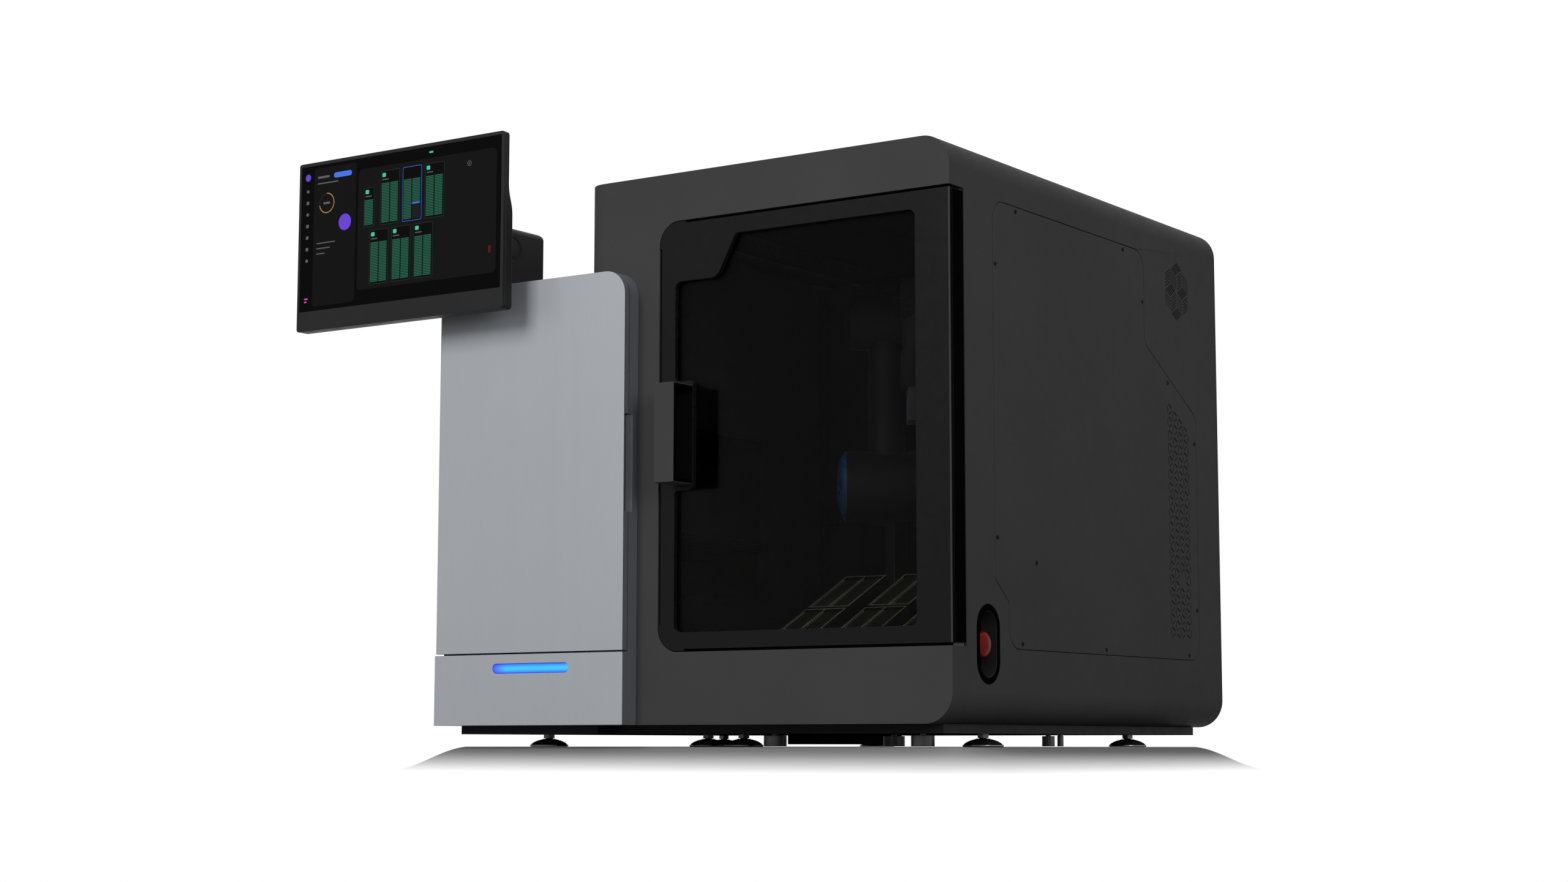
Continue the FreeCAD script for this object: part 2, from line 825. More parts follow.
def make_cabinet_shell():
    shell = body_slab(0, fascia_depth, cover_front)
    shell = shell.cut(body_slab(skin, fascia_depth - overrun, cover_front + overrun))
    outer_points, outer_radii = panel_outline(0)
    shell = shell.cut(slab_along_x(outer_points, outer_radii, -panel_wall, overrun))
    inner_points, inner_radii = panel_outline(panel_ledge)
    shell = shell.cut(slab_along_x(inner_points, inner_radii, -skin - overrun, overrun))
    shell = shell.cut(cube_vent_slits())
    shell = shell.cut(stadium(-recess_wall, -skin - overrun, overrun))
    shell = shell.cut(stadium(contact_gap, -recess_wall, overrun))
    port = box(-body_width - overrun, overrun - body_width + skin, port_front, port_front + port_depth,
               body_bottom + port_bottom, body_bottom + port_bottom + port_height)
    return shell.cut(port).cut(screw_holes_on_side())


def vent_outline(grow):
    """The lower vent's outline, with its top sloping down towards the back; u is Y and v is Z."""
    front = vent_front - grow
    rear = vent_node(vent_column_count - 1, 0)[0] + grow
    low = vent_high - vent_row_count * vent_pitch - grow
    rear_high = vent_node(vent_column_count - 1, 0)[1] + grow
    return [(front, low), (rear, low), (rear, rear_high), (front, vent_high + grow)]


def make_side_panel():
    points, radii = panel_outline(panel_gap)
    panel = slab_along_x(points, radii, -panel_wall, 0)
    return panel.cut(lower_vent_slits()).cut(screw_holes_on_side())


def make_vent_filter():
    return slab_along_x(vent_outline(vent_filter_margin), [0] * 4, -panel_wall - vent_filter_wall, -panel_wall)


def make_fan_filter():
    return slab_along_x(hexagon(cube_filter_margin), [0] * 6, -skin - cube_filter_wall, -skin)


def make_button_recess():
    cup = stadium(0, -recess_depth - recess_wall, 0).cut(stadium(-recess_rim, -recess_depth, overrun))
    slim = stadium(recess_wall, -recess_depth - overrun, overrun).cut(stadium(-recess_wall - contact_gap,
                                                                              -recess_depth - 2 * overrun, 2 * overrun))
    slim = slim.cut(box(-recess_wall, 2 * overrun, recess_y - recess_width, recess_y + recess_width,
                        recess_z - recess_height, recess_z + recess_height))
    bore = cylinder((-recess_depth - 2 * recess_wall, recess_y, recess_z), (overrun, recess_y, recess_z),
                    button_stem_radius + running_gap)
    return cup.cut(slim).cut(bore)


def make_stop_button():
    base = -button_sink - button_height
    body = cylinder((base, recess_y, recess_z), (-button_sink, recess_y, recess_z), button_radius)
    sagitta = button_sink
    sphere_radius = (button_radius ** 2 + sagitta ** 2) / (2 * sagitta)
    dome = Part.makeSphere(sphere_radius, FreeCAD.Vector(-sphere_radius, recess_y, recess_z))
    dome = dome.common(cylinder((-button_sink, recess_y, recess_z), (overrun, recess_y, recess_z), button_radius))
    stem = cylinder((base - button_stem_length, recess_y, recess_z), (base, recess_y, recess_z), button_stem_radius)
    return joined([body, dome, stem])


def make_rear_cover():
    cover = body_slab(0, cover_front, body_depth)
    half_w = inlet_width / 2 - inlet_flange
    half_h = inlet_height / 2 - inlet_flange
    inlet_hole = box(inlet_x - half_w, inlet_x + half_w, cover_front - overrun, body_depth + overrun,
                     inlet_z - half_h, inlet_z + half_h)
    switch_x = inlet_x - switch_spacing
    switch_hole = box(switch_x - switch_width / 2 - switch_gap, switch_x + switch_width / 2 + switch_gap,
                      cover_front - overrun, body_depth + overrun,
                      inlet_z - switch_height / 2 - switch_gap, inlet_z + switch_height / 2 + switch_gap)
    cover = cover.cut(inlet_hole).cut(switch_hole).cut(screw_holes_on_rear())
    pin_reach = switch_width / 2 + switch_gap
    pins = []
    for side in (-1, 1):
        pins.append(cylinder((switch_x + side * pin_reach * 2, cover_front, inlet_z),
                             (switch_x + side * switch_width / 4, cover_front, inlet_z), switch_pin_radius))
    return joined([cover] + pins)


def make_power_switch():
    x = inlet_x - switch_spacing
    front = cover_front - switch_depth / 2
    body = box(x - switch_width / 2, x + switch_width / 2, front, front + switch_depth,
               inlet_z - switch_height / 2, inlet_z + switch_height / 2)
    dish_radius = switch_height * 2
    dish = cylinder((x - switch_width, front + switch_depth + dish_radius - switch_pin_radius, inlet_z),
                    (x + switch_width, front + switch_depth + dish_radius - switch_pin_radius, inlet_z), dish_radius)
    bore = cylinder((x - switch_width, cover_front, inlet_z), (x + switch_width, cover_front, inlet_z),
                    switch_pin_radius + running_gap)
    return body.cut(dish).cut(bore)


def make_power_inlet():
    flange = box(inlet_x - inlet_width / 2, inlet_x + inlet_width / 2, body_depth, body_depth + inlet_flange / 2,
                 inlet_z - inlet_height / 2, inlet_z + inlet_height / 2)
    half_w = inlet_width / 2 - inlet_flange - contact_gap
    half_h = inlet_height / 2 - inlet_flange - contact_gap
    body = box(inlet_x - half_w, inlet_x + half_w, body_depth - inlet_depth, body_depth,
               inlet_z - half_h, inlet_z + half_h)
    cavity = box(inlet_x - inlet_cavity_width / 2, inlet_x + inlet_cavity_width / 2,
                 body_depth - inlet_cavity_depth, body_depth + overrun,
                 inlet_z - inlet_cavity_height / 2, inlet_z + inlet_cavity_height / 2)
    return joined([flange, body]).cut(cavity)


def make_cover_screws():
    screws = []
    for y, z in panel_screw_places():
        head = cylinder((0, y, z), (screw_head_height, y, z), screw_head_radius)
        shank = cylinder((-screw_shank_length, y, z), (0, y, z), screw_shank_radius)
        screws.append(joined([head, shank]))
    for x, z in rear_screw_places():
        head = cylinder((x, body_depth, z), (x, body_depth + screw_head_height, z), screw_head_radius)
        shank = cylinder((x, body_depth - screw_shank_length, z), (x, body_depth, z), screw_shank_radius)
        screws.append(joined([head, shank]))
    return group(screws)


# Underside

def foot_places():
    """X and Y of each levelling foot."""
    pod_feet = [(pod_left + share_x * pod_width, pod_front + share_y * pod_depth)
                for share_x, share_y in pod_foot_shares]
    return pod_feet + [(-share_x * body_width, share_y * body_depth) for share_x, share_y in body_foot_shares]


def make_base_tray():
    meeting = tray_inset - body_width
    pod_part = (pod_left + pod_tray_inset, meeting, pod_front + pod_tray_inset, pod_rear - pod_tray_inset)
    body_part = (meeting, -tray_inset, tray_inset, body_depth - tray_inset)
    holes = group([cylinder((x, y, tray_low - overrun), (x, y, tray_low + tray_wall + overrun),
                            stud_radius + contact_gap) for x, y in foot_places()])
    trays = []
    for x0, x1, y0, y1 in (pod_part, body_part):
        outer = box(x0, x1, y0, y1, tray_low, body_bottom)
        inner = box(x0 + tray_wall, x1 - tray_wall, y0 + tray_wall, y1 - tray_wall,
                    tray_low + tray_wall, body_bottom + overrun)
        trays.append(outer.cut(inner).cut(holes))
    return group(trays)


def make_foot_rims():
    return group([cylinder((x, y, 0), (x, y, foot_rim_height), foot_radius) for x, y in foot_places()])


def make_foot_pads():
    pads = []
    top = foot_rim_height + foot_dome_height
    edge = foot_radius - foot_rim_height / 2
    shoulder_radius_here = (edge + foot_neck_radius) / 2
    shoulder_z = foot_rim_height + foot_dome_height * 0.72
    for x, y in foot_places():
        start = FreeCAD.Vector(edge, 0, foot_rim_height)
        middle = FreeCAD.Vector(shoulder_radius_here, 0, shoulder_z)
        end = FreeCAD.Vector(foot_neck_radius, 0, top)
        edges = [Part.makeLine(FreeCAD.Vector(0, 0, foot_rim_height), start),
                 Part.Arc(start, middle, end).toShape(),
                 Part.makeLine(end, FreeCAD.Vector(0, 0, top)),
                 Part.makeLine(FreeCAD.Vector(0, 0, top), FreeCAD.Vector(0, 0, foot_rim_height))]
        dome = Part.Face(Part.Wire(edges)).revolve(FreeCAD.Vector(0, 0, 0), FreeCAD.Vector(0, 0, 1), 360)
        dome.translate(FreeCAD.Vector(x, y, 0))
        pads.append(dome)
    return group(pads)


def make_levelling_studs():
    foot_top = foot_rim_height + foot_dome_height
    return group([cylinder((x, y, foot_top), (x, y, body_bottom - contact_gap), stud_radius) for x, y in foot_places()])


def make_levelling_nuts():
    nuts = []
    corner = nut_flats / 2 / math.cos(math.radians(30))
    for x, y in foot_places():
        points = [FreeCAD.Vector(x + corner * math.cos(math.radians(60 * k)), y + corner * math.sin(math.radians(60 * k)),
                                 tray_low - nut_height) for k in range(7)]
        nut = Part.Face(Part.makePolygon(points)).extrude(FreeCAD.Vector(0, 0, nut_height))
        bore = cylinder((x, y, tray_low - nut_height - overrun), (x, y, tray_low + overrun), stud_radius + running_gap)
        nuts.append(nut.cut(bore))
    return group(nuts)


def make_transport_posts():
    posts = []
    for share_x, share_y, thickness in post_place_shares:
        x = -share_x * body_width
        y = share_y * body_depth
        radius = thickness * foot_radius
        post = cylinder((x, y, post_clearance), (x, y, post_clearance + post_height), radius)
        stud = cylinder((x, y, post_clearance + post_height), (x, y, tray_low), min(radius, post_stud_radius))
        posts.append(joined([post, stud]))
    return group(posts)


def make_supply_pan():
    left = tray_inset - body_width + pan_margin
    rear = body_depth - pan_rear_margin
    return box(left, left + pan_width, rear - pan_depth, rear, pan_ground_gap, tray_low)


# Inner structure

def make_inner_frame():
    front = fascia_depth
    back = cover_front - frame_bar
    rail_low = frame_top - frame_bar
    bars = []
    for x in (inner_left, inner_right - frame_bar):
        for y in (front, back):
            bars.append(box(x, x + frame_bar, y, y + frame_bar, deck_top, rail_low))
        bars.append(box(x, x + frame_bar, front + frame_bar, back, rail_low, frame_top))
    for y in (front, back):
        bars.append(box(inner_left, inner_right, y, y + frame_bar, rail_low, frame_top))
    holes = screw_holes_on_rear()
    return group([bar.cut(holes) for bar in bars])


def make_deck_plate():
    plate = box(inner_left, inner_right, fascia_depth, cover_front, deck_low, deck_top)
    ribs = []
    rib_low = body_bottom + skin
    left = inner_left + body_corner_radius
    right = inner_right - body_corner_radius
    for y in (fascia_depth + rib_margin, body_depth / 2, cover_front - rib_margin):
        ribs.append(box(left, right, y, y + rib_width, rib_low, deck_low + deck_wall / 2))
    return joined([plate] + ribs)


def make_bulkhead():
    return box(inner_left, inner_right, bulkhead_y, bulkhead_y + bulkhead_wall, deck_top, frame_top - frame_bar)


def make_controller_box():
    left = inner_left + rib_margin
    front = bulkhead_y + bulkhead_wall
    case = box(left, left + controller_width, front, front + controller_depth, deck_top, deck_top + controller_height)
    wall = controller_wall
    inside = box(left + wall, left + controller_width - wall, front + wall, front + controller_depth - wall,
                 deck_top + wall, deck_top + controller_height - wall)
    return case.cut(inside)


def fan_frame_at(y, z, x_outer):
    """A square fan frame with spokes and a centre pin; its outer face is at x_outer."""
    inner = x_outer - fan_depth
    half = fan_size / 2
    frame = box(inner, x_outer, y - half, y + half, z - half, z + half)
    frame = frame.cut(cylinder((inner - overrun, y, z), (x_outer + overrun, y, z), fan_bore_radius))
    hub = cylinder((inner, y, z), (inner + fan_plate_wall, y, z), fan_hub_radius)
    spokes = [box(inner, inner + fan_plate_wall, y - half, y + half, z - fan_spoke_width / 2, z + fan_spoke_width / 2),
              box(inner, inner + fan_plate_wall, y - fan_spoke_width / 2, y + fan_spoke_width / 2, z - half, z + half)]
    pin = cylinder((inner, y, z), (x_outer - fan_plate_wall, y, z), fan_pin_radius)
    return joined([frame, hub, pin] + spokes)


def make_fan_frames():
    upper = fan_frame_at(cube_vent_y, cube_vent_z, -skin - cube_filter_wall)
    lower_y = lower_fan_y
    lower_outer = -panel_wall - vent_filter_wall
    lower = fan_frame_at(lower_y, lower_fan_z, lower_outer)
    inner = lower_outer - fan_depth
    half = fan_size / 2
    bracket = box(inner, lower_outer, bulkhead_y + bulkhead_wall, lower_y - half,
                  lower_fan_z - half, lower_fan_z + half)
    bracket = bracket.cut(box(inner + fan_bracket_wall, lower_outer - fan_bracket_wall,
                              bulkhead_y + bulkhead_wall + fan_bracket_wall, lower_y - half,
                              lower_fan_z - half - overrun, lower_fan_z + half + overrun))
    return group([upper, joined([lower, bracket])])


def fan_rotor_at(y, z, x_outer):
    """A fan rotor: a hub with pitched blades, turning on its frame's pin."""
    near = x_outer - fan_depth + fan_plate_wall + contact_gap
    far = x_outer - fan_plate_wall
    tip = fan_bore_radius - fan_tip_gap
    hub = cylinder((near, y, z), (far, y, z), fan_hub_radius - contact_gap)
    middle = (near + far) / 2
    blade_depth = (far - near) * 0.8
    solids = [hub]
    for index in range(fan_blade_count):
        blade = box(-fan_blade_wall / 2, fan_blade_wall / 2, -blade_depth / 2, blade_depth / 2,
                    fan_hub_radius - overrun, tip)
        blade.rotate(FreeCAD.Vector(0, 0, 0), FreeCAD.Vector(0, 0, 1), 90 - fan_blade_pitch_deg)
        blade.rotate(FreeCAD.Vector(0, 0, 0), FreeCAD.Vector(1, 0, 0), 360.0 * index / fan_blade_count)
        blade.translate(FreeCAD.Vector(middle, y, z))
        solids.append(blade)
    rotor = joined(solids).common(cylinder((near, y, z), (far, y, z), tip))
    return rotor.cut(cylinder((near - overrun, y, z), (far + overrun, y, z), fan_pin_radius + running_gap))


def make_upper_fan_rotor():
    return fan_rotor_at(cube_vent_y, cube_vent_z, -skin - cube_filter_wall)


def make_lower_fan_rotor():
    return fan_rotor_at(lower_fan_y, lower_fan_z, -panel_wall - vent_filter_wall)


# Slide racks

def rack_places():
    """Left edge and lower end of each rack, measured on the slope."""
    return [(column * rack_pitch, row * (rack_length + rack_row_gap))
            for row in range(rack_row_count) for column in range(rack_column_count)]


def make_slide_racks():
    racks = []
    column_width = (rack_width - 3 * rack_wall) / 2
    for across, along in rack_places():
        rack = on_slope(across, across + rack_width, along, along + rack_length, -rack_height, 0)
        for column in range(2):
            left = across + rack_wall + column * (column_width + rack_wall)
            rack = rack.cut(on_slope(left, left + column_width, along + rack_wall, along + rack_length - rack_wall,
                                     rack_wall - rack_height, overrun))
        racks.append(rack)
    return group(racks)


def make_glass_slides():
    slides = []
    column_width = (rack_width - 3 * rack_wall) / 2
    margin = (column_width - slide_width) / 2
    floor = rack_wall - rack_height
    for across, along in rack_places():
        for column in range(2):
            left = across + rack_wall + column * (column_width + rack_wall) + margin
            for index in range(slide_count):
                start = along + rack_wall + contact_gap + index * slide_pitch
                slides.append(on_slope(left, left + slide_width, start, start + slide_wall,
                                       floor, floor + slide_length))
    return group(slides)


def make_rack_cradle():
    right = (rack_column_count - 1) * rack_pitch + rack_width
    length = rack_row_count * rack_length + (rack_row_count - 1) * rack_row_gap
    bed = on_slope(0, right, 0, length, -rack_height - cradle_wall, -rack_height)
    left_x = -rack_left
    right_x = right - rack_left
    bottom_front = rack_point(0, cradle_wall, -rack_height - cradle_wall / 2)
    bottom_back = rack_point(0, length - cradle_wall, -rack_height - cradle_wall / 2)
    legs = []
    for point in (bottom_front, bottom_back):
        legs.append(box(left_x, right_x, point.y, point.y + cradle_wall, deck_top, point.z))
    stop = on_slope(0, right, -cradle_wall, 0, -rack_height - cradle_wall, -rack_height / 2)
    return joined([bed, stop] + legs)


# Robot arm

def make_robot_base():
    foot = cylinder(robot_point(0, deck_top), robot_point(0, deck_top + robot_foot_wall), robot_foot_radius)
    top = robot_shoulder_z - turret_height / 2 - running_gap
    column = cylinder(robot_point(0, deck_top), robot_point(0, top), robot_column_radius)
    return joined([foot, column])


def make_robot_turret():
    low = robot_shoulder_z - turret_height / 2
    high = robot_shoulder_z + turret_height / 2
    body = cylinder(robot_point(0, low), robot_point(0, high), turret_radius)
    stub = cylinder(robot_point(0, robot_shoulder_z), robot_point(turret_reach, robot_shoulder_z), turret_stub_radius)
    return joined([body, stub])


def make_turret_cap():
    top = robot_shoulder_z + turret_height / 2
    return cylinder(robot_point(0, top), robot_point(0, top + cap_height), turret_radius - contact_gap)


def make_robot_upper_arm():
    start = turret_reach + running_gap
    middle = start + shoulder_length / 2
    end = start + shoulder_length
    elbow_z = robot_shoulder_z + upper_arm_rise
    shoulder = cylinder(robot_point(start, robot_shoulder_z), robot_point(end, robot_shoulder_z), shoulder_radius)
    tube = cylinder(robot_point(middle, robot_shoulder_z), robot_point(middle, elbow_z), upper_arm_radius)
    elbow = cylinder(robot_point(middle - elbow_length / 2, elbow_z), robot_point(middle + elbow_length / 2, elbow_z),
                     elbow_radius)
    return joined([shoulder, tube, elbow])


def make_arm_caps():
    start = turret_reach + running_gap
    middle = start + shoulder_length / 2
    end = start + shoulder_length
    elbow_z = robot_shoulder_z + upper_arm_rise
    elbow_end = middle + elbow_length / 2
    shoulder_cap = cylinder(robot_point(end, robot_shoulder_z), robot_point(end + cap_height, robot_shoulder_z),
                            shoulder_radius - contact_gap)
    elbow_cap = cylinder(robot_point(elbow_end, elbow_z), robot_point(elbow_end + cap_height, elbow_z),
                         elbow_radius - contact_gap)
    return group([shoulder_cap, elbow_cap])


def forearm_middle():
    """Distance of the forearm's middle plane from the robot's upright axis."""
    elbow_near = turret_reach + running_gap + shoulder_length / 2 - elbow_length / 2
    return elbow_near - running_gap - forearm_housing_length / 2


def make_robot_forearm():
    middle = forearm_middle()
    elbow_z = robot_shoulder_z + upper_arm_rise
    half = forearm_housing_length / 2
    housing = cylinder(robot_point(middle - half, elbow_z), robot_point(middle + half, elbow_z), elbow_radius)
    tube = cylinder(robot_point(middle, elbow_z), robot_point(middle, elbow_z, forearm_reach), forearm_radius)
    half_wrist = wrist_length / 2
    wrist = cylinder(robot_point(middle - half_wrist, elbow_z, forearm_reach),
                     robot_point(middle + half_wrist, elbow_z, forearm_reach), wrist_radius)
    return joined([housing, tube, wrist])


def turned_box(along0, along1, across0, across1, z0, z1):
    """A box squared to the robot's shoulder axis."""
    corners = [robot_point(along0, z0, across0), robot_point(along1, z0, across0),
               robot_point(along1, z0, across1), robot_point(along0, z0, across1)]
    points = [FreeCAD.Vector(*corner) for corner in corners]
    return Part.Face(Part.makePolygon(points + points[:1])).extrude(FreeCAD.Vector(0, 0, z1 - z0))


def gripper_start():
    """Distance of the gripper's near face from the robot's upright axis: it hangs beside the wrist."""
    return forearm_middle() + wrist_length / 2 + running_gap


def make_robot_gripper():
    near = gripper_start()
    elbow_z = robot_shoulder_z + upper_arm_rise
    top = elbow_z - gripper_drop
    head = cylinder(robot_point(near, elbow_z, forearm_reach), robot_point(near + gripper_depth, elbow_z, forearm_reach),
                    wrist_radius)
    neck = cylinder(robot_point(near + gripper_depth / 2, elbow_z, forearm_reach),
                    robot_point(near + gripper_depth / 2, top - overrun, forearm_reach), gripper_neck_radius)
    half = gripper_width / 2
    body = turned_box(near, near + gripper_depth, forearm_reach - half, forearm_reach + half,
                      top - gripper_height, top)
    return joined([head, neck, body])


def jaw(side):
    """One jaw of the gripper, below the gripper's body."""
    near = gripper_start() + (gripper_depth - jaw_depth) / 2
    top = robot_shoulder_z + upper_arm_rise - gripper_drop - gripper_height - running_gap
    inner = forearm_reach + side * jaw_gap / 2
    outer = inner + side * jaw_width
    carriage_inner = forearm_reach + side * jaw_gap / 4
    finger = turned_box(near, near + jaw_depth, min(inner, outer), max(inner, outer), top - jaw_length, top)
    carriage = turned_box(near, near + jaw_depth, min(carriage_inner, outer), max(carriage_inner, outer),
                          top - jaw_rail_height, top)
    return joined([finger, carriage])


# Scan unit

def scan_limits():
    """Left, right, front and rear of the scan unit's base."""
    left = inner_left + scan_clearance
    rear = bulkhead_y
    return left, left + scan_width, rear - scan_depth, rear


def make_scan_base():
    left, right, front, rear = scan_limits()
    block = box(left, right, front, rear, deck_top, deck_top + scan_base_height)
    rails = []
    middle = (left + right) / 2
    top = deck_top + scan_base_height
    for side in (-1, 1):
        x = middle + side * stage_width / 4
        rails.append(box(x - stage_rail_width / 2, x + stage_rail_width / 2, front, rear - scan_column_depth,
                         top - stage_rail_height, top + stage_rail_height))
    return joined([block] + rails)


def make_scan_column():
    left, right, front, rear = scan_limits()
    middle = (left + right) / 2
    low = deck_top + scan_base_height
    return box(middle - scan_column_width / 2, middle + scan_column_width / 2, rear - scan_column_depth, rear,
               low, low + scan_column_height)


def make_stage_table():
    left, right, front, rear = scan_limits()
    middle = (left + right) / 2
    low = deck_top + scan_base_height + running_gap
    back = rear - scan_column_depth - contact_gap
    table = box(middle - stage_width / 2, middle + stage_width / 2, back - stage_depth, back, low,
                low + stage_rail_height + stage_wall)
    for side in (-1, 1):
        x = middle + side * stage_width / 4
        table = table.cut(box(x - stage_rail_width / 2 - contact_gap, x + stage_rail_width / 2 + contact_gap,
                              back - stage_depth - overrun, back + overrun, low - overrun,
                              low + stage_rail_height))
    return table


def make_focus_head():
    left, right, front, rear = scan_limits()
    middle = (left + right) / 2
    back = rear - scan_column_depth - running_gap
    low = deck_top + scan_base_height + head_rise
    body = box(middle - head_width / 2, middle + head_width / 2, back - head_depth, back, low, low + head_height)
    y = back - head_depth + objective_radius * 1.6
    objective = cylinder((middle, y, low - objective_length), (middle, y, low + overrun), objective_radius)
    return joined([body, objective])


# Loading pod

def pod_slab(left, y0, y1, low, square_low=True):
    """The pod's front outline between two depths, from a left edge and a lower edge up to its top."""
    points = rectangle(left, pod_right, low, pod_top)
    return slab_along_y(points, [0, 0, pod_corner_radius, pod_corner_radius - (left - pod_left)], y0, y1)


def pod_opening(y0, y1):
    """The doorway of the pod."""
    left = pod_shell_left + pod_opening_margin
    right = -body_width - skin - pod_opening_margin / 2
    points = rectangle(left, right, pod_split + pod_opening_margin, pod_top - pod_opening_margin)
    return slab_along_y(points, [pod_opening_radius] * 4, y0, y1)


def pod_shelf_levels():
    """Height of each shelf in the pod."""
    low = pod_split + pod_opening_margin
    step = (pod_top - pod_opening_margin - low) / shelf_count
    return [low + step * index for index in range(shelf_count)]


def pod_notch():
    """The round hollow for fingers in the pod's right edge, behind a thin lip."""
    low = body_bottom + pod_notch_bottom
    high = low + pod_notch_height
    x = pod_right - pod_notch_depth + pod_notch_radius
    y = pod_front + pod_notch_lip
    scoop = cylinder((x, y, low), (x, y, high), pod_notch_radius)
    return scoop.common(box(pod_right - pod_notch_radius, pod_right + overrun, y, y + pod_notch_radius, low, high))


def make_pod_shell():
    nose = pod_slab(pod_shell_left, pod_shell_front, 0, body_bottom)
    barrel = pod_slab(pod_shell_left, 0, pod_rear, body_bottom)
    barrel = barrel.common(box(pod_shell_left - overrun, -body_width, -overrun, pod_rear + overrun,
                               body_bottom - overrun, pod_top + overrun))
    shell = joined([nose, barrel])
    nose_hollow = rectangle(-body_width - skin, pod_right - skin, body_bottom + skin, pod_top - skin)
    shell = shell.cut(slab_along_y(nose_hollow, [0, 0, pod_corner_radius - skin, 0], pod_shell_front + skin, overrun))
    hollow_left = pod_shell_left + skin
    hollow = rectangle(hollow_left, -body_width + overrun, body_bottom + skin, pod_top - skin)
    upper_left = pod_corner_radius - pod_side_inset - skin
    shell = shell.cut(slab_along_y(hollow, [0, 0, 0, upper_left], pod_shell_front + skin, pod_rear - skin))
    shell = shell.cut(pod_opening(pod_shell_front - overrun, pod_shell_front + skin + overrun))
    swivel_hole = cylinder((swivel_x, swivel_y, pod_top - skin - overrun), (swivel_x, swivel_y, pod_top + overrun),
                           swivel_pin_radius + running_gap)
    return shell.cut(pod_notch()).cut(swivel_hole)


def pod_knuckle_levels():
    """Lower end of each hinge knuckle."""
    return [pod_split + pod_knuckle_margin, pod_top - pod_knuckle_margin - pod_knuckle_height]


def make_pod_door():
    low = pod_split + pod_door_gap
    back = pod_front + pod_door_thickness
    door = pod_slab(pod_left, pod_front, back, low)
    edge = box(pod_left - overrun, pod_axis_x, pod_front - overrun, back + overrun, low - overrun, pod_top + overrun)
    round_edge = cylinder((pod_axis_x, pod_axis_y, low), (pod_axis_x, pod_axis_y, pod_top), pod_knuckle_radius)
    door = door.cut(edge.cut(round_edge))
    for level in pod_knuckle_levels():
        reach = pod_knuckle_radius + hinge_leaf_wall
        door = door.cut(box(pod_left - overrun, pod_axis_x + reach, pod_front + pod_door_skin, back + overrun,
                            level - contact_gap, level + pod_knuckle_height + contact_gap))
        door = door.cut(cylinder((pod_axis_x, pod_axis_y, level - pod_pin_grip),
                                 (pod_axis_x, pod_axis_y, level + pod_knuckle_height + pod_pin_grip),
                                 pod_pin_radius))
    return door.cut(pod_notch())


def make_pod_hinge_pins():
    pins = []
    for level in pod_knuckle_levels():
        pins.append(cylinder((pod_axis_x, pod_axis_y, level - pod_pin_grip),
                             (pod_axis_x, pod_axis_y, level + pod_knuckle_height + pod_pin_grip), pod_pin_radius))
    return group(pins)


def make_pod_hinge_brackets():
    brackets = []
    for level in pod_knuckle_levels():
        top = level + pod_knuckle_height
        knuckle = cylinder((pod_axis_x, pod_axis_y, level), (pod_axis_x, pod_axis_y, top),
                           pod_knuckle_radius - pod_door_skin - contact_gap)
        arm = box(pod_axis_x, pod_axis_x + pod_knuckle_radius, pod_axis_y, pod_shell_front, level, top)
        leaf = box(pod_shell_left, pod_shell_left + hinge_leaf_width, pod_shell_front - hinge_leaf_wall,
                   pod_shell_front, level, top)
        bore = cylinder((pod_axis_x, pod_axis_y, level - overrun), (pod_axis_x, pod_axis_y, top + overrun),
                        pod_pin_radius + running_gap)
        brackets.append(joined([knuckle, arm, leaf]).cut(bore))
    return group(brackets)


def light_outline(grow):
    """The status light's pill; u is X and v is Z."""
    left = pod_left + light_left - grow
    low = body_bottom + light_bottom - grow
    height = light_height + 2 * grow
    points = rectangle(left, left + light_length + 2 * grow, low, low + height)
    return points, [height / 2 - running_gap] * 4


def make_pod_lower_panel():
    panel = box(pod_left, pod_right, pod_front, pod_shell_front, body_bottom, pod_split)
    points, radii = light_outline(contact_gap)
    return panel.cut(slab_along_y(points, radii, pod_front - overrun, pod_front + light_depth))


def make_status_light():
    points, radii = light_outline(0)
    return slab_along_y(points, radii, pod_front, pod_front + light_depth)


def make_pod_shelves():
    shelves = []
    left = pod_shell_left + skin
    right = -body_width
    back = pod_rear - skin
    for level in pod_shelf_levels():
        shelves.append(box(left, right, 0, back, level, level + shelf_wall))
        shelves.append(box(left, left + shelf_runner, 0, back, level - shelf_runner, level))
        shelves.append(box(right - shelf_runner, right, 0, back, level - shelf_runner, level))
    return group(shelves)


# Display on its swivelling block

def block_limits():
    """Left, right, front, rear, bottom and top of the display's block."""
    low = pod_top + swivel_plate_height
    return (pod_left, pod_left + block_width, block_back - block_depth, block_back, low, low + block_height)


